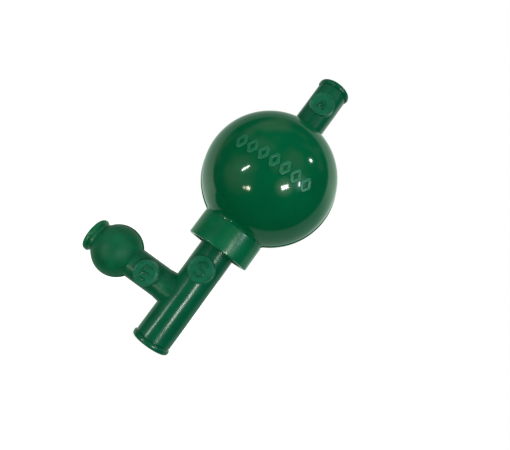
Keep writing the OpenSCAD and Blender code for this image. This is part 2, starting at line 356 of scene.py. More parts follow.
def pad_piece(name, tube_r, pad_r, face, settings, material, place, around=120):
    """A valve pad: a flat round boss with a raised rim whose foot curves out onto its tube.

    Locally the tube runs along Z, the pad faces -Y, and face is the depth of its flat front."""
    top = face + settings.rim_height
    edge = settings.edge_round
    rim_in = pad_r - settings.rim_width

    def tube_depth(x):
        return math.sqrt(max(tube_r ** 2 - x ** 2, 0))

    fixed = [(rim_in * k / 5, face) for k in range(1, 5)]
    fixed += [(rim_in - edge, face), (rim_in - edge / 3, face + edge / 4), (rim_in, top - edge / 4)]
    fixed += [(rim_in + edge, top), (pad_r - edge, top)]
    fixed += [(pad_r - edge * (1 - math.sin(a)), top - edge * (1 - math.cos(a)))
              for a in (0.4, 0.8, 1.2, math.pi / 2)]
    wall_parts, foot_parts, under_parts = 4, 5, 4
    points = [Vector((0, -face, 0))]
    loops = []
    for index in range(len(fixed) + wall_parts + foot_parts + under_parts):
        loop = []
        for k in range(around):
            angle = 2 * math.pi * k / around
            c, s = math.cos(angle), math.sin(angle)
            wall_top = top - edge
            wall_low = tube_depth(pad_r * c) + settings.foot
            wall_low = min(wall_low, wall_top - LEAST_WALL)
            if index < len(fixed):
                r, depth = fixed[index]
            elif index < len(fixed) + wall_parts:
                share = (index - len(fixed) + 1) / wall_parts
                r, depth = pad_r, wall_top + (wall_low - wall_top) * share
            elif index < len(fixed) + wall_parts + foot_parts:
                share = (index - len(fixed) - wall_parts + 1) / foot_parts * math.pi / 2
                r = pad_r + settings.foot * (1 - math.cos(share))
                rise = (wall_low - tube_depth(pad_r * c)) * (1 - math.sin(share))
                depth = tube_depth(r * c) + rise - FOOT_SINK
            else:
                share = (index - len(fixed) - wall_parts - foot_parts) / (under_parts - 1)
                r = (pad_r + settings.foot) * (1 - 0.8 * share)
                depth = tube_depth(r * c) - PAD_ROOT
            loop.append(len(points))
            points.append(Vector((r * c, -depth, r * s)))
        loops.append(loop)
    bottom = len(points)
    points.append(Vector((0, -tube_r + PAD_ROOT, 0)))
    faces = []
    for k in range(around):
        n = (k + 1) % around
        faces.append((0, loops[0][k], loops[0][n]))
        faces.append((bottom, loops[-1][n], loops[-1][k]))
        for inner, outer in zip(loops, loops[1:]):
            faces.append((inner[k], outer[k], outer[n], inner[n]))
    return mesh_piece(name, [place @ p for p in points], faces, material)


# ---------------------------------------------------------------- node trees

def add_node(tree, kind, inputs=None, **settings):
    """Adds a node, sets its attributes, and sets or links its inputs by name or number."""
    new = tree.nodes.new(kind)
    for key, value in settings.items():
        setattr(new, key, value)
    for key, value in (inputs or {}).items():
        if isinstance(value, bpy.types.NodeSocket):
            tree.links.new(value, new.inputs[key])
        else:
            new.inputs[key].default_value = value
    return new


def new_tree(name, sockets):
    """A geometry node tree with named inputs and one geometry output. Returns it and its inputs."""
    tree = bpy.data.node_groups.new(name, "GeometryNodeTree")
    tree.interface.new_socket("Geometry", in_out="OUTPUT", socket_type="NodeSocketGeometry")
    for socket_name, kind in sockets:
        tree.interface.new_socket(socket_name, in_out="INPUT", socket_type="NodeSocket" + kind)
    return tree, tree.nodes.new("NodeGroupInput").outputs


# Radius of a raised line's edges as a share of its width
BEAD_ROUNDING = 0.28


def flat_bead(tree, curve, width, spacing):
    """Sweeps a rounded square along the curve and returns its geometry."""
    even = add_node(tree, "GeometryNodeResampleCurve", {"Curve": curve, "Length": spacing},
                    mode="LENGTH")
    edge = add_node(tree, "ShaderNodeMath", {0: width, 1: BEAD_ROUNDING}, operation="MULTIPLY")
    square = add_node(tree, "GeometryNodeCurvePrimitiveQuadrilateral", {"Width": width, "Height": width})
    profile = add_node(tree, "GeometryNodeFilletCurve", {
        "Curve": square.outputs[0], "Count": 3, "Radius": edge.outputs[0]}, mode="POLY")
    bead = add_node(tree, "GeometryNodeCurveToMesh", {
        "Curve": even.outputs[0], "Profile Curve": profile.outputs[0], "Fill Caps": True})
    return bead.outputs[0]


def end_tree(tree, geometry, material):
    """Shades smooth, realizes instances, sets the material and links the output."""
    smooth = add_node(tree, "GeometryNodeSetShadeSmooth", {"Geometry": geometry})
    real = add_node(tree, "GeometryNodeRealizeInstances", {"Geometry": smooth.outputs[0]})
    done = add_node(tree, "GeometryNodeSetMaterial", {"Geometry": real.outputs[0], "Material": material})
    add_node(tree, "NodeGroupOutput", {"Geometry": done.outputs[0]})


# Distance between points along a raised line
MARK_STEP = 0.25 * MM
LETTER_STEP = 0.2 * MM


def lozenge_row_tree():
    """Raised lozenge outlines in a row along X, laid straight back onto the front of a ball."""
    tree, given = new_tree("Lozenge row", [
        ("Count", "Int"), ("Pitch", "Float"), ("Width", "Float"), ("Height", "Float"), ("Line", "Float"),
        ("Relief", "Float"), ("Corner", "Float"), ("Ball Radius", "Float"), ("Centre", "Vector"),
        ("Material", "Material")])
    half_height = add_node(tree, "ShaderNodeMath", {0: given["Height"], 1: 0.5}, operation="MULTIPLY")
    kite = add_node(tree, "GeometryNodeCurvePrimitiveQuadrilateral", {
        "Width": given["Width"], "Bottom Height": half_height.outputs[0],
        "Top Height": half_height.outputs[0]}, mode="KITE")
    soft = add_node(tree, "GeometryNodeFilletCurve", {
        "Curve": kite.outputs[0], "Count": 5, "Radius": given["Corner"]}, mode="POLY")
    upright = add_node(tree, "GeometryNodeTransform", {
        "Geometry": soft.outputs[0], "Rotation": (math.pi / 2, 0, 0)})
    step = add_node(tree, "ShaderNodeCombineXYZ", {"X": given["Pitch"]})
    gaps = add_node(tree, "ShaderNodeMath", {0: given["Count"], 1: 1}, operation="SUBTRACT")
    reach = add_node(tree, "ShaderNodeMath", {0: gaps.outputs[0], 1: given["Pitch"]},
                     operation="MULTIPLY")
    start = add_node(tree, "ShaderNodeMath", {0: reach.outputs[0], 1: -0.5}, operation="MULTIPLY")
    begin = add_node(tree, "ShaderNodeCombineXYZ", {"X": start.outputs[0]})
    line = add_node(tree, "GeometryNodeMeshLine", {
        "Count": given["Count"], "Start Location": begin.outputs[0], "Offset": step.outputs[0]})
    row = add_node(tree, "GeometryNodeInstanceOnPoints", {
        "Points": line.outputs[0], "Instance": upright.outputs[0]})
    curves = add_node(tree, "GeometryNodeRealizeInstances", {"Geometry": row.outputs[0]})
    even = add_node(tree, "GeometryNodeResampleCurve", {
        "Curve": curves.outputs[0], "Length": MARK_STEP}, mode="LENGTH")
    place = add_node(tree, "GeometryNodeInputPosition")
    flat_length = add_node(tree, "ShaderNodeVectorMath", {0: place.outputs[0], 1: place.outputs[0]},
                           operation="DOT_PRODUCT")
    square = add_node(tree, "ShaderNodeMath", {0: given["Ball Radius"], 1: 2}, operation="POWER")
    left = add_node(tree, "ShaderNodeMath", {0: square.outputs[0], 1: flat_length.outputs["Value"]},
                    operation="SUBTRACT")
    depth = add_node(tree, "ShaderNodeMath", {0: left.outputs[0]}, operation="SQRT")
    back = add_node(tree, "ShaderNodeMath", {0: depth.outputs[0], 1: -1}, operation="MULTIPLY")
    onto = add_node(tree, "ShaderNodeCombineXYZ", {"Y": back.outputs[0]})
    offset = add_node(tree, "ShaderNodeVectorMath", {0: onto.outputs[0], 1: given["Centre"]},
                      operation="ADD")
    laid = add_node(tree, "GeometryNodeSetPosition", {
        "Geometry": even.outputs[0], "Offset": offset.outputs[0]})
    bead = flat_bead(tree, laid.outputs[0], given["Line"], MARK_STEP)
    from_centre = add_node(tree, "ShaderNodeVectorMath", {0: place.outputs[0], 1: given["Centre"]},
                           operation="SUBTRACT")
    distance = add_node(tree, "ShaderNodeVectorMath", {0: from_centre.outputs[0]}, operation="LENGTH")
    above = add_node(tree, "ShaderNodeMath", {0: distance.outputs["Value"], 1: given["Ball Radius"]},
                     operation="SUBTRACT")
    share = add_node(tree, "ShaderNodeMath", {0: given["Relief"], 1: given["Line"]}, operation="DIVIDE")
    less = add_node(tree, "ShaderNodeMath", {0: share.outputs[0], 1: 2, 2: -1}, operation="MULTIPLY_ADD")
    lower = add_node(tree, "ShaderNodeMath", {0: above.outputs[0], 1: less.outputs[0]},
                     operation="MULTIPLY")
    outward = add_node(tree, "ShaderNodeVectorMath", {0: from_centre.outputs[0]}, operation="NORMALIZE")
    shift = add_node(tree, "ShaderNodeVectorMath", {0: outward.outputs[0], "Scale": lower.outputs[0]},
                     operation="SCALE")
    pressed = add_node(tree, "GeometryNodeSetPosition", {"Geometry": bead, "Offset": shift.outputs[0]})
    end_tree(tree, pressed.outputs[0], given["Material"])
    return tree


def raised_stroke_tree():
    """A flattened bead along the modifier's own curve, which is drawn in the XZ plane."""
    tree, given = new_tree("Raised stroke", [
        ("Strokes", "Geometry"), ("Width", "Float"), ("Height", "Float"), ("Corner", "Float"),
        ("Place", "Vector"), ("Material", "Material")])
    soft = add_node(tree, "GeometryNodeFilletCurve", {"Curve": given["Strokes"], "Count": 4,
                                                      "Radius": given["Corner"]}, mode="POLY")
    bead = flat_bead(tree, soft.outputs[0], given["Width"], LETTER_STEP)
    share = add_node(tree, "ShaderNodeMath", {0: given["Height"], 1: given["Width"]}, operation="DIVIDE")
    twice = add_node(tree, "ShaderNodeMath", {0: share.outputs[0], 1: 2}, operation="MULTIPLY")
    press = add_node(tree, "ShaderNodeCombineXYZ", {"X": 1, "Y": twice.outputs[0], "Z": 1})
    flat = add_node(tree, "GeometryNodeTransform", {"Geometry": bead, "Scale": press.outputs[0],
                                                    "Translation": given["Place"]})
    end_tree(tree, flat.outputs[0], given["Material"])
    return tree


def grown_piece(name, source, tree, values):
    """Runs a tree on the source object and keeps the result as a plain mesh at the origin."""
    modifier = source.modifiers.new(tree.name, "NODES")
    modifier.node_group = tree
    for item in tree.interface.items_tree:
        if item.name in values:
            modifier[item.identifier] = values[item.name]
    source.update_tag()
    bpy.context.view_layer.update()
    grown = bpy.data.meshes.new_from_object(source.evaluated_get(bpy.context.evaluated_depsgraph_get()))
    if not grown.polygons:
        raise RuntimeError(f"{name}: the node tree made no faces")
    shape = bmesh.new()
    shape.from_mesh(grown)
    bmesh.ops.remove_doubles(shape, verts=shape.verts, dist=1e-7)
    bmesh.ops.recalc_face_normals(shape, faces=shape.faces)
    shape.to_mesh(grown)
    shape.free()
    grown.name = name
    piece = bpy.data.objects.new(name, grown)
    bpy.context.scene.collection.objects.link(piece)
    bpy.data.objects.remove(source)
    return piece


def stroke_curve(name, strokes):
    """A curve object with one straight-sided spline for each list of (x, z) points."""
    data = bpy.data.curves.new(name, "CURVE")
    data.dimensions = "3D"
    for stroke in strokes:
        spline = data.splines.new("POLY")
        spline.points.add(len(stroke) - 1)
        for point, (x, z) in zip(spline.points, stroke):
            point.co = (x, 0, z, 1)
    drawn = bpy.data.objects.new(name, data)
    bpy.context.scene.collection.objects.link(drawn)
    return drawn


def letter_strokes(letter, width, height):
    """The strokes of the letters A, S and E as lists of points, centred."""
    w, h = width / 2, height / 2
    if letter == "A":
        return [[(-w, -h), (0, h), (w, -h)], [(-w * 0.62, -h * 0.24), (w * 0.62, -h * 0.24)]]
    if letter == "E":
        return [[(w, h), (-w, h), (-w, -h), (w, -h)], [(-w, 0), (w * 0.75, 0)]]
    bend = h / 2
    path = []
    for k in range(19):
        angle = math.radians(30 + 240 * k / 18)
        path.append((w * math.cos(angle), bend + bend * math.sin(angle)))
    path += [(-x, -z) for x, z in reversed(path[:-1])]
    return [path]


# ---------------------------------------------------------------- materials

# Size of the smallest specks of bloom, and their colour where they lie thick
SPECK_MM = 0.8
BLOOM_COLOUR = "#7fa893"
# Tool marks of the turned mould: distance apart, and how little they change round the tube
RING_MM = 0.12
RING_LENGTH = 0.03
RUBBER_IOR = 1.52
GLASS_IOR = 1.52
# The bloom's specks begin and are full at these shares of their noise, and the pigment's clouds too
SPECK_EDGE = (0.64, 0.78)
CLOUD_EDGE = (0.3, 0.7)
# How far the roughness varies with the clouds
ROUGHNESS_SPREAD = (0.85, 1.2)


def new_material(name):
    """A material with its node tree and its shader."""
    made = bpy.data.materials.new(name)
    made.use_nodes = True
    return made, made.node_tree, made.node_tree.nodes["Principled BSDF"]


def rubber(name, base, roughness, specular, mottle_mm, mottle, grain_mm, grain_depth_mm, bloom,
           rings=None, ring_depth_mm=0.006):
    """Moulded rubber: a dielectric with mottled pigment, fine mould grain and a trace of pale bloom.

    specular is 0.5 for clean rubber and less where bloom dulls it. mottle is how far the pigment
    varies, and grain is the texture left by the mould. bloom is the share of the pale dust that
    natural rubber sweats out, which gathers in small specks. rings is the axis that the mould was
    turned on: its fine tool marks stretch a highlight along that axis."""
    made, tree, shader = new_material(name)
    shader.inputs["IOR"].default_value = RUBBER_IOR
    shader.inputs["Specular IOR Level"].default_value = specular
    spot = add_node(tree, "ShaderNodeTexCoord").outputs["Object"]
    clouds, specks, grain = [
        add_node(tree, "ShaderNodeTexNoise", {
            "Vector": spot, "Scale": 1 / (size * MM), "Detail": detail, "Roughness": fineness})
        for size, detail, fineness in ((mottle_mm, 4, 0.55), (SPECK_MM, 3, 0.7), (grain_mm, 3, 0.6))]
    spread = add_node(tree, "ShaderNodeMapRange", {
        "Value": clouds.outputs["Fac"], "From Min": CLOUD_EDGE[0], "From Max": CLOUD_EDGE[1]})
    dark = (*[c * (1 - mottle) for c in base], 1)
    light = (*[c * (1 + mottle) for c in base], 1)
    pigment = add_node(tree, "ShaderNodeMix", {0: spread.outputs[0], 6: dark, 7: light},
                       data_type="RGBA")
    dust = add_node(tree, "ShaderNodeMapRange", {
        "Value": specks.outputs["Fac"], "From Min": SPECK_EDGE[0], "From Max": SPECK_EDGE[1],
        "To Max": bloom})
    dusted = add_node(tree, "ShaderNodeMix", {
        0: dust.outputs[0], 6: pigment.outputs[2], 7: (*srgb(BLOOM_COLOUR), 1)}, data_type="RGBA")
    tree.links.new(dusted.outputs[2], shader.inputs["Base Color"])
    smoothest, roughest = [roughness * share for share in ROUGHNESS_SPREAD]
    rough = add_node(tree, "ShaderNodeMapRange", {
        "Value": spread.outputs[0], "To Min": smoothest, "To Max": roughest})
    tree.links.new(rough.outputs[0], shader.inputs["Roughness"])
    bump = add_node(tree, "ShaderNodeBump", {
        "Height": grain.outputs["Fac"], "Distance": grain_depth_mm * MM})
    if rings:
        squeeze = [1 if axis == rings else RING_LENGTH for axis in "XYZ"]
        along = add_node(tree, "ShaderNodeMapping", {"Vector": spot, "Scale": squeeze})
        marks = add_node(tree, "ShaderNodeTexNoise", {
            "Vector": along.outputs[0], "Scale": 1 / (RING_MM * MM), "Detail": 0.0})
        bump = add_node(tree, "ShaderNodeBump", {
            "Height": marks.outputs["Fac"], "Distance": ring_depth_mm * MM, "Normal": bump.outputs[0]})
    tree.links.new(bump.outputs[0], shader.inputs["Normal"])
    return made


def polished_bulb_rubber(settings):
    """Natural rubber pressed in a polished mould: deep green and wet-looking, with the faintest grain."""
    return rubber("Polished_moulded_rubber", settings.gloss_colour[:], 0.09, 0.5, 16, 0.1, 3.2, 0.003,
                  0.06)


def satin_side_rubber(settings):
    """Natural rubber from a blasted mould: the same green, dull and slightly cloudy."""
    return rubber("Satin_moulded_rubber", settings.satin_colour[:], 0.45, 0.24, 7, 0.24, 0.6, 0.03, 0.3)


def tube_rubber(settings):
    """Thick-walled moulded rubber tube: half gloss, with a little flow mottle."""
    return rubber("Half_gloss_moulded_rubber", settings.tube_colour[:], 0.21, 0.4, 9, 0.12, 1.6, 0.003,
                  0.1, rings="Z", ring_depth_mm=0.01)


def collar_rubber(settings):
    """The collar's rubber: paler than the tubes where the mould was hottest, and half gloss."""
    return rubber("Pale_half_gloss_rubber", settings.collar_colour[:], 0.2, 0.5, 8, 0.12, 1.6, 0.003,
                  0.1, rings="Z", ring_depth_mm=0.009)


def branch_rubber(settings):
    """The branch's rubber, from the blasted part of the mould: darker looking and satin."""
    return rubber("Satin_tube_rubber", settings.tube_colour[:], 0.3, 0.4, 6, 0.2, 0.8, 0.012, 0.3,
                  rings="X")


def lip_rubber(settings):
    """The side bulb's lip, from a polished part of the mould: pale and half gloss."""
    return rubber("Pale_lip_rubber", settings.collar_colour[:], 0.3, 0.45, 6, 0.15, 0.6, 0.01, 0.15)


def painted_sheen_mark_rubber(settings):
    """Raised marks from an etched mould with rough tops; their green is paler than the bulb as painted
    sheen.
    """
    return rubber("Etched_mark_rubber_painted_sheen", settings.mark_painted_sheen_colour[:], 0.34, 0.5, 4, 0.1, 0.5, 0.01, 0.12)


def pad_rubber(settings):
    """Rubber pressed by an etched mould insert: lighter and duller, so that the letters read."""
    return rubber("Etched_pad_rubber", settings.pad_colour[:], 0.27, 0.5, 5, 0.1, 0.6, 0.008, 0.15)


def painted_shade_letter_rubber(settings):
    """The pads' letters: sunk deepest in the mould, so glossier than the etched face; their darker green
    is painted shade.
    """
    return rubber("Glossy_letter_rubber_painted_shade", settings.letter_painted_shade_colour[:], 0.2, 0.5, 5, 0.1, 0.6, 0.006, 0.1)


def painted_shade_plug_rubber(settings):
    """Rubber inside the collar, never polished; its very dark green is painted shade for the recess
    inside the collar.
    """
    return rubber("Dull_plug_rubber_painted_shade", settings.plug_painted_shade_colour[:], 0.55, 0.4, 4, 0.15, 0.4, 0.03, 0.2)


def ball_glass():
    """Ground and polished soda-lime glass: clear, with a faint green cast and a few fine streaks."""
    made, tree, shader = new_material("Soda_lime_glass")
    shader.inputs["Base Color"].default_value = (*srgb("#e4f1ec"), 1)
    shader.inputs["IOR"].default_value = GLASS_IOR
    shader.inputs["Transmission Weight"].default_value = 1.0
    spot = add_node(tree, "ShaderNodeTexCoord").outputs["Object"]
    streaks = add_node(tree, "ShaderNodeTexNoise", {
        "Vector": spot, "Scale": 1 / (1.5 * MM), "Detail": 2.0})
    rough = add_node(tree, "ShaderNodeMapRange", {
        "Value": streaks.outputs["Fac"], "To Min": 0.01, "To Max": 0.06})
    tree.links.new(rough.outputs[0], shader.inputs["Roughness"])
    return made


def floor_paint(settings):
    """Matt white paper sweep under the object, bright enough to lose its own shadows."""
    made, _, shader = new_material("White_paper_sweep")
    looks = {"Base Color": (*settings.floor_colour[:], 1), "Roughness": 0.9, "Specular IOR Level": 0,
             "Emission Color": (1, 1, 1, 1), "Emission Strength": 0.8}
    for key, value in looks.items():
        shader.inputs[key].default_value = value
    return made


MATERIALS = {}


def material(key, maker, *settings):
    """Makes a material the first time it's asked for and gives the same one after that."""
    if key not in MATERIALS:
        MATERIALS[key] = maker(*settings)
    return MATERIALS[key]


# Each valve's letter with its width and height
LETTERS = {
    "air": ("A", 3.7 * MM, 5.6 * MM),
    "suction": ("S", 4.6 * MM, 7.4 * MM),
    "expel": ("E", 3.9 * MM, 6.7 * MM),
}
LETTER_CORNER = 0.35 * MM


# ---------------------------------------------------------------- operators

class FILLER_OT_bulb(bpy.types.Operator):
    """Make the two moulded halves of the main bulb"""
    bl_idname = "filler.bulb"
    bl_label = "Main bulb"

    def execute(self, context):
        settings = context.scene.filler_bulb
        gloss = material("gloss", polished_bulb_rubber, settings)
        tubes = context.scene.filler_tubes
        neck = (PLUG_R, COLLAR_R - settings.neck_step, settings.neck_flare)
        top = (tubes.bore, half_size("air_tube").x - tubes.bead_out, settings.top_flare)
        for name, side, walls in (("bulb_front_skin", -1, ("bulb_front_wall", "bulb_shell")),
                                  ("bulb_back_skin", 1, ("bulb_back_wall",))):
            skin = half_bulb(name, BULB_CENTRE, BULB_R, settings.wall, neck, top, Matrix.Identity(3),
                             side, settings, gloss)
            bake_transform(skin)
            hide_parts(*walls)
        return {"FINISHED"}


class FILLER_OT_grip_marks(bpy.types.Operator):
    """Make the row of raised lozenges on the front of the bulb"""
    bl_idname = "filler.grip_marks"
    bl_label = "Grip marks"

    def execute(self, context):
        settings = context.scene.filler_marks
        source = bpy.data.objects.new("lozenge_source", bpy.data.meshes.new("lozenge_source"))
        context.scene.collection.objects.link(source)
        marks = grown_piece("grip_lozenges", source, lozenge_row_tree(), {
            "Count": settings.count, "Pitch": settings.pitch, "Width": settings.width,
            "Height": settings.height, "Line": settings.line, "Relief": settings.relief,
            "Corner": settings.corner, "Ball Radius": BULB_R, "Centre": BULB_CENTRE,
            # The marks' material carries a paler green as painted sheen
            "Material": material("mark", painted_sheen_mark_rubber, settings)})
        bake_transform(marks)
        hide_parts("grip_marks")
        return {"FINISHED"}


class FILLER_OT_neck(bpy.types.Operator):
    """Make the collar round the neck and the plug inside it"""
    bl_idname = "filler.neck"
    bl_label = "Neck collar and plug"

    def execute(self, context):
        tubes = context.scene.filler_tubes
        shoulder = COLLAR_LOW + tubes.collar_height
        outline = rounded_outline([
            (PLUG_R, COLLAR_LOW, 0.5 * MM), (COLLAR_R, COLLAR_LOW, 0.5 * MM),
            (COLLAR_R, shoulder, 0.6 * MM), (PLUG_R, shoulder, 0)])
        collar = turned_piece("neck_collar_ring", outline, material("collar", collar_rubber, tubes),
                              seam_out=tubes.seam_out, ripple=WAVE_DEPTH)
        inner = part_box("suction_tube")[1].x - tubes.bead_out
        ring = rounded_outline([(inner, PLUG_LOW, 0.3 * MM), (PLUG_R, PLUG_LOW, 0.6 * MM),
                                (PLUG_R, SUCTION_TOP, 0), (inner, SUCTION_TOP, 0)])
        # The plug's material carries its dark green as painted shade
        plug = turned_piece("neck_plug_ring", ring, material("plug", painted_shade_plug_rubber, tubes))
        for piece, node in ((collar, "neck_collar"), (plug, "neck_plug")):
            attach(piece, "filler_body")
            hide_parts(node)
        return {"FINISHED"}


# How deep the ends of the air tube and the branch lie inside the two bulbs' walls
AIR_ROOT = 1.2 * MM
SIDE_ROOT = 1.3 * MM
# Distances along the branch from the suction tube's axis: its hidden start, and where its flare narrows
BRANCH_START = 4.2 * MM
FLARE_START = 9 * MM
FLARE_END = 11.5 * MM
# Depth of the groove behind a mouth's bead
GROOVE_DEPTH = 0.3 * MM


def mouth_corners(tube_r, inner_r, settings):
    """Corners of a beaded mouth at height 0, from the tube's side over the bead to the hole."""
    bead_r, bead = tube_r + settings.bead_out, settings.bead_width
    groove_r = tube_r - GROOVE_DEPTH
    return [(tube_r, bead + 0.55 * MM, 0.2 * MM), (groove_r, bead + 0.4 * MM, 0.1 * MM),
            (groove_r, bead, 0.1 * MM), (bead_r, bead, 0.9 * MM), (bead_r, 0, 1.0 * MM),
            (inner_r, 0, 0.6 * MM)]


class FILLER_OT_tubes(bpy.types.Operator):
    """Make the air tube, the suction tube and the expel branch"""
    bl_idname = "filler.tubes"
    bl_label = "Tubes"

    def execute(self, context):
        settings = context.scene.filler_tubes
        skin = material("tube", tube_rubber, settings)
        suction_r = half_size("suction_tube").x - settings.bead_out
        corners = mouth_corners(suction_r, settings.socket_r, settings) + [
            (settings.socket_r, settings.socket_depth, 0.4 * MM),
            (settings.bore, settings.socket_depth + MM, 0.4 * MM),
            (settings.bore, SUCTION_TOP, 0), (suction_r, SUCTION_TOP, 0)]
        suction = turned_piece("suction_tube_skin", rounded_outline(corners), skin,
                               seam_out=settings.seam_out, ripple=WAVE_DEPTH)
        air_r = half_size("air_tube").x - settings.bead_out
        air_foot = AIR_TOP - BULB_CENTRE.z - math.sqrt(BULB_R ** 2 - air_r ** 2) + AIR_ROOT
        corners = mouth_corners(air_r, settings.bore, settings) + [
            (settings.bore, air_foot, 0), (air_r, air_foot, 0)]
        air = turned_piece("air_tube_skin", rounded_outline(corners), skin,
                           place=Matrix.Translation((0, 0, AIR_TOP)) @ Matrix.Diagonal((1, 1, -1, 1)),
                           seam_out=settings.seam_out, ripple=WAVE_DEPTH)
        finish = -SIDE_CENTRE.x - math.sqrt(SIDE_R ** 2 - EXPEL_R ** 2) + SIDE_ROOT
        wide = EXPEL_R + settings.branch_flare
        corners = [(wide, BRANCH_START, 0), (settings.bore, BRANCH_START, 0), (settings.bore, finish, 0),
                   (EXPEL_R, finish, 0), (EXPEL_R, FLARE_END, 2 * MM), (wide, FLARE_START, 1 * MM)]
        expel = turned_piece("expel_tube_skin", rounded_outline(corners),
                             material("branch", branch_rubber, settings), place=along_branch(),
                             seam_out=settings.seam_out, ripple=WAVE_DEPTH)
        for piece, node, tube_r in ((suction, "suction", suction_r), (air, "air", air_r),
                                    (expel, "expel", EXPEL_R)):
            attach(piece, "filler_body")
            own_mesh(piece)
            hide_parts(node + "_tube")
        return {"FINISHED"}


def along_branch():
    """Turns local Z onto -X at the branch's height, and keeps local Y."""
    return Matrix.Translation((0, 0, SIDE_CENTRE.z)) @ Matrix.Rotation(-math.pi / 2, 4, "Y")


class FILLER_OT_pads(bpy.types.Operator):
    """Make the three valve pads and their raised letters"""
    bl_idname = "filler.pads"
    bl_label = "Valve pads"

    def execute(self, context):
        settings = context.scene.filler_pads
        tubes = context.scene.filler_tubes
        skin = material("pad", pad_rubber, settings)
        # The letters' material carries their darker green as painted shade
        shiny = material("letter", painted_shade_letter_rubber, settings)
        strokes = raised_stroke_tree()
        for node, (letter, width, height) in LETTERS.items():
            pad = node + "_pad"
            centre = middle(pad) * Vector((1, 0, 1))
            pad_r = half_size(pad).x
            face = -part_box(pad)[0].y - settings.rim_height
            tube_r = EXPEL_R if node == "expel" else half_size(node + "_tube").x - tubes.bead_out
            place = Matrix.Translation(centre)
            if node == "expel":
                place = place @ Matrix.Rotation(-math.pi / 2, 4, "Y")
            boss = pad_piece(pad + "_boss", tube_r, pad_r, face, settings, skin, place)
            drawn = stroke_curve(pad + "_strokes", letter_strokes(letter, width - settings.stroke,
                                                                  height - settings.stroke))
            mark = grown_piece(pad + "_letter", drawn, strokes, {
                "Width": settings.stroke, "Height": settings.letter_height, "Corner": LETTER_CORNER,
                "Place": centre - Vector((0, face, 0)), "Material": shiny})
            for piece in (boss, mark):
                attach(piece, node + "_valve")
            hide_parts(pad)
        return {"FINISHED"}


class FILLER_OT_side_bulb(bpy.types.Operator):
    """Make the two halves of the side bulb and its flared mouth"""
    bl_idname = "filler.side_bulb"
    bl_label = "Side bulb"

    def execute(self, context):
        settings = context.scene.filler_bulb
        tubes = context.scene.filler_tubes
        satin = material("satin", satin_side_rubber, settings)
        to_axis = Matrix.Rotation(-math.pi / 2, 3, "Y")
        neck_r = LIP_R - tubes.neck_in
        branch = (tubes.bore, EXPEL_R - 0.6 * MM, 0.4 * MM)
        neck = (tubes.vent_r, neck_r, 0.7 * MM)
        for name, side, walls in (
                ("side_bulb_front_skin", -1, ("side_bulb_front_wall", "side_bulb_shell")),
                ("side_bulb_back_skin", 1, ("side_bulb_back_wall",))):
            skin = half_bulb(name, SIDE_CENTRE, SIDE_R, settings.side_wall, branch, neck, to_axis, side,
                             settings, satin, columns=112)
            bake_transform(skin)
            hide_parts(*walls)
        inside = -SIDE_CENTRE.x + math.sqrt(SIDE_R ** 2 - neck_r ** 2) - 0.5 * MM
        outside = -MOUTH_X
        corners = [(tubes.vent_r, outside, 0.7 * MM), (LIP_R, outside, 1.0 * MM),
                   (LIP_R, outside - tubes.lip, 0.6 * MM),
                   (neck_r, outside - tubes.lip - 0.3 * MM, 0.3 * MM),
                   (neck_r, inside, 0), (tubes.vent_r, inside, 0)]
        mouth = turned_piece("side_bulb_mouth_lip", rounded_outline(corners, 0.4 * MM),
                             material("lip", lip_rubber, tubes), place=along_branch(),
                             seam_out=tubes.seam_out, ripple=LIP_WAVE_DEPTH)
        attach(mouth, "filler_body")
        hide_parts("side_bulb_mouth")
        return {"FINISHED"}


class FILLER_OT_balls(bpy.types.Operator):
    """Give the three valve balls their glass"""
    bl_idname = "filler.balls"
    bl_label = "Valve balls"

    def execute(self, context):
        glass = material("glass", ball_glass)
        for node in ("air_ball", "suction_ball", "expel_ball"):
            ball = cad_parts[node]
            for place in ball.material_slots:
                place.material = glass
        return {"FINISHED"}


def lamp(name, azimuth, elevation, wide, high, tilt, radiance, tint, distance):
    """A soft lamp of the given angular width and height in radians that looks at the bulb's centre.

    Azimuth 0 is the front and 90 is +X, and tilt turns the lamp's width up from level, all in degrees."""
    a, e, t = math.radians(azimuth), math.radians(elevation), math.radians(tilt)
    away = Vector((math.sin(a) * math.cos(e), -math.cos(a) * math.cos(e), math.sin(e)))
    across = Vector((math.cos(t), 0, math.sin(t)))
    across = (across - away * across.dot(away)).normalized()
    data = bpy.data.lights.new(name, "AREA")
    data.shape = "RECTANGLE"
    data.size = wide * distance
    data.size_y = high * distance
    data.energy = radiance * math.pi * data.size * data.size_y
    data.color = srgb(tint)
    light = bpy.data.objects.new(name, data)
    turn = Matrix((across, away.cross(across), away)).transposed()
    light.matrix_world = Matrix.Translation(BULB_CENTRE + away * distance) @ turn.to_4x4()
    light.visible_camera = False
    bpy.context.scene.collection.objects.link(light)


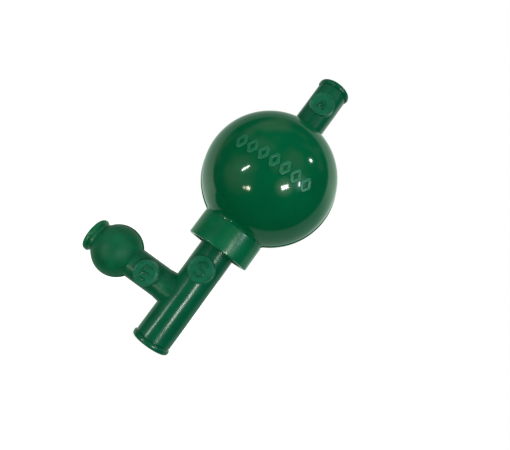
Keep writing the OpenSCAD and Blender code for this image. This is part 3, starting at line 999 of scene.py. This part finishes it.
def studio_world(scene):
    """White paper behind the object and a dim room in front of it, and plain white for the camera."""
    world = bpy.data.worlds.new("Studio")
    world.use_nodes = True
    tree = world.node_tree
    tree.nodes.clear()
    toward = add_node(tree, "ShaderNodeTexCoord").outputs["Generated"]
    split = add_node(tree, "ShaderNodeSeparateXYZ", {0: toward})
    paper = add_node(tree, "ShaderNodeMapRange", {
        "Value": split.outputs["Y"], "From Min": PAPER_EDGE[0], "From Max": PAPER_EDGE[1]},
        interpolation_type="SMOOTHSTEP")
    rise = add_node(tree, "ShaderNodeVectorMath", {0: toward, 1: ROOM_UP}, operation="DOT_PRODUCT")
    level = add_node(tree, "ShaderNodeMapRange", {"Value": rise.outputs["Value"], "From Min": -1.0})
    sheen = add_node(tree, "ShaderNodeValToRGB", {0: level.outputs[0]})
    middle_stop = sheen.color_ramp.elements.new(0.5)
    stops = sheen.color_ramp.elements
    for stop, place, shade in zip((stops[0], middle_stop, stops[-1]), PAPER_PLACES, PAPER_SHADES):
        stop.color = (*srgb(shade), 1)
        stop.position = place
    patches = add_node(tree, "ShaderNodeTexNoise", {"Vector": toward, "Scale": 1.7, "Detail": 1.0})
    bright = add_node(tree, "ShaderNodeMapRange", {
        "Value": patches.outputs["Fac"], "From Min": PATCH_EDGE[0], "From Max": PATCH_EDGE[1],
        "To Max": PATCH_LIGHT})
    ceiling = add_node(tree, "ShaderNodeMapRange", {
        "Value": rise.outputs["Value"], "From Min": CEILING_EDGE[0], "From Max": CEILING_EDGE[1]},
        interpolation_type="SMOOTHSTEP")
    glow = add_node(tree, "ShaderNodeMath", {0: bright.outputs[0], 1: ceiling.outputs[0]},
                    operation="MULTIPLY")
    room = add_node(tree, "ShaderNodeMix", {
        0: glow.outputs[0], 6: (*srgb(ROOM_SHADE), 1), 7: (*srgb(ROOM_LIGHT), 1)},
        data_type="RGBA").outputs[2]
    for direction, edge, shade in SOFT_SPOTS:
        nearness = add_node(tree, "ShaderNodeVectorMath", {0: toward, 1: direction},
                            operation="DOT_PRODUCT")
        inside = add_node(tree, "ShaderNodeMapRange", {
            "Value": nearness.outputs["Value"], "From Min": edge}, interpolation_type="SMOOTHSTEP")
        room = add_node(tree, "ShaderNodeVectorMath", {0: inside.outputs[0], 1: srgb(shade), 2: room},
                        operation="MULTIPLY_ADD").outputs[0]
    around = add_node(tree, "ShaderNodeMix", {
        0: paper.outputs[0], 6: room, 7: sheen.outputs[0]}, data_type="RGBA")
    kind = add_node(tree, "ShaderNodeLightPath").outputs
    above = add_node(tree, "ShaderNodeMapRange", {
        "Value": rise.outputs["Value"], "To Max": CEILING_LIGHT})
    lift = add_node(tree, "ShaderNodeMath", {0: above.outputs[0], 1: kind["Is Diffuse Ray"]},
                    operation="MULTIPLY")
    lifted = add_node(tree, "ShaderNodeVectorMath", {0: around.outputs[2], 1: lift.outputs[0]},
                      operation="ADD")
    backdrop = add_node(tree, "ShaderNodeMix", {
        0: kind["Is Camera Ray"], 6: lifted.outputs[0], 7: (1, 1, 1, 1)}, data_type="RGBA")
    shine = add_node(tree, "ShaderNodeBackground", {"Color": backdrop.outputs[2]})
    add_node(tree, "ShaderNodeOutputWorld", {"Surface": shine.outputs[0]})
    scene.world = world


# Where the paper behind the object begins, as the Y of a direction, and where it fills the view
PAPER_EDGE = (0.24, 0.34)
# The paper's shade at its foot, where the lamps fall on it, and at its top, where it leaves the light
PAPER_PLACES = (0.28, 0.47, 1.0)
PAPER_SHADES = ("#90b3a2", "#ddf9e5", "#5d6c65")
# The dim room, its lighter patches near the ceiling, how strong they are, and where they begin
ROOM_SHADE = "#191d1d"
ROOM_LIGHT = "#fff3da"
PATCH_LIGHT = 0.3
PATCH_EDGE = (0.42, 0.62)
CEILING_EDGE = (-0.3, 0.5)
# Soft light from the ceiling, which is too even to show as a reflection
CEILING_LIGHT = 0.5
# The direction that the studio's ceiling lies in
ROOM_UP = (-0.578, -0.155, 0.801)
# Each lamp: azimuth and elevation, angular width and height, tilt, radiance and colour
LAMPS = {
    "window_lamp": (32.4, -7.7, 0.19, 0.1, 50, 38, "#f8fff6"),
    "strip_lamp": (-37.7, -16.7, 0.23, 0.03, 50, 60, "#f0fff6"),
    "low_lamp": (-19.7, -42.3, 0.1, 0.085, 36, 26, "#fdf6dc"),
    "low_lamp_2": (-28.7, -44.2, 0.055, 0.05, 36, 16, "#fdf6dc"),
    "cool_lamp": (50.4, 11.8, 0.12, 0.1, 36, 30, "#eaf6ff"),
    "high_lamp": (54.6, 50.6, 0.045, 0.055, 66, 90, "#e8fff4"),
}
# Soft patches of light round the lamps: direction, cosine at the edge, and shade
SOFT_SPOTS = (
    ((0.531, -0.837, -0.134), 0.95, "#f3f9e1"),
    ((0.74, -0.635, 0.222), 0.965, "#cbedff"),
    ((-0.62, -0.55, -0.45), 0.76, "#9ea690"),
)
# The camera's place, the point it looks at, and how far it's rolled
EYE = Vector((19.1, -197.54, 39.51)) * MM
TARGET = Vector((6.92, 0, 68.85)) * MM
ROLL = math.radians(35.9)
# The floor lies this far below the object, so that the two never share a plane
FLOOR_GAP = 0.05 * MM


class FILLER_OT_stage(bpy.types.Operator):
    """Make the floor, the lamps and the camera"""
    bl_idname = "filler.stage"
    bl_label = "Stage"

    def execute(self, context):
        settings = context.scene.filler_stage
        half = settings.floor_size / 2
        corners = [(-half, -half), (half, -half), (half, half), (-half, half)]
        floor = mesh_piece("floor", [Vector((x, y, -FLOOR_GAP)) for x, y in corners], [(0, 1, 2, 3)],
                           floor_paint(settings))
        floor.visible_glossy = False
        floor.visible_diffuse = False
        floor.visible_shadow = False
        studio_world(context.scene)
        for name, (azimuth, elevation, wide, high, tilt, radiance, tint) in LAMPS.items():
            lamp(name, azimuth, elevation, wide, high, tilt, radiance * settings.lamp_power, tint,
                 settings.lamp_distance)
        camera = bpy.data.cameras.new("camera")
        camera.lens = settings.lens
        camera.sensor_width = 36
        camera.clip_start = 0.01
        viewer = bpy.data.objects.new("camera", camera)
        aim = (TARGET - EYE).to_track_quat("-Z", "Y").to_matrix() @ Matrix.Rotation(ROLL, 3, "Z")
        viewer.matrix_world = Matrix.Translation(EYE) @ aim.to_4x4()
        context.scene.collection.objects.link(viewer)
        context.scene.camera = viewer
        context.scene.view_settings.view_transform = "Standard"
        return {"FINISHED"}


class FILLER_PT_panel(bpy.types.Panel):
    """Settings and steps of the pipette filler bulb"""
    bl_idname = "FILLER_PT_panel"
    bl_label = "Pipette filler bulb"
    bl_space_type = "VIEW_3D"
    bl_region_type = "UI"
    bl_category = "Filler"

    def draw(self, context):
        for operator in OPERATORS:
            self.layout.operator(operator.bl_idname)
        for group in SETTINGS:
            box = self.layout.box()
            values = getattr(context.scene, group)
            for name in values.__annotations__:
                box.prop(values, name)


SETTINGS = {"filler_bulb": BulbSettings, "filler_tubes": TubeSettings, "filler_pads": PadSettings,
            "filler_marks": MarkSettings, "filler_stage": StageSettings}
OPERATORS = [FILLER_OT_stage, FILLER_OT_bulb, FILLER_OT_grip_marks, FILLER_OT_neck, FILLER_OT_tubes,
             FILLER_OT_pads, FILLER_OT_side_bulb, FILLER_OT_balls]


def register():
    """Registers the settings, the operators and the panel."""
    for cls in [*SETTINGS.values(), *OPERATORS, FILLER_PT_panel]:
        bpy.utils.register_class(cls)
    for name, cls in SETTINGS.items():
        setattr(bpy.types.Scene, name, PointerProperty(type=cls))


def unregister():
    """Takes out what register put in."""
    for name in SETTINGS:
        delattr(bpy.types.Scene, name)
    for cls in [FILLER_PT_panel, *OPERATORS, *SETTINGS.values()]:
        bpy.utils.unregister_class(cls)


def main():
    """Builds everything."""
    register()
    for operator in OPERATORS:
        group, name = operator.bl_idname.split(".")
        getattr(getattr(bpy.ops, group), name)()


if __name__ == "__main__":
    main()
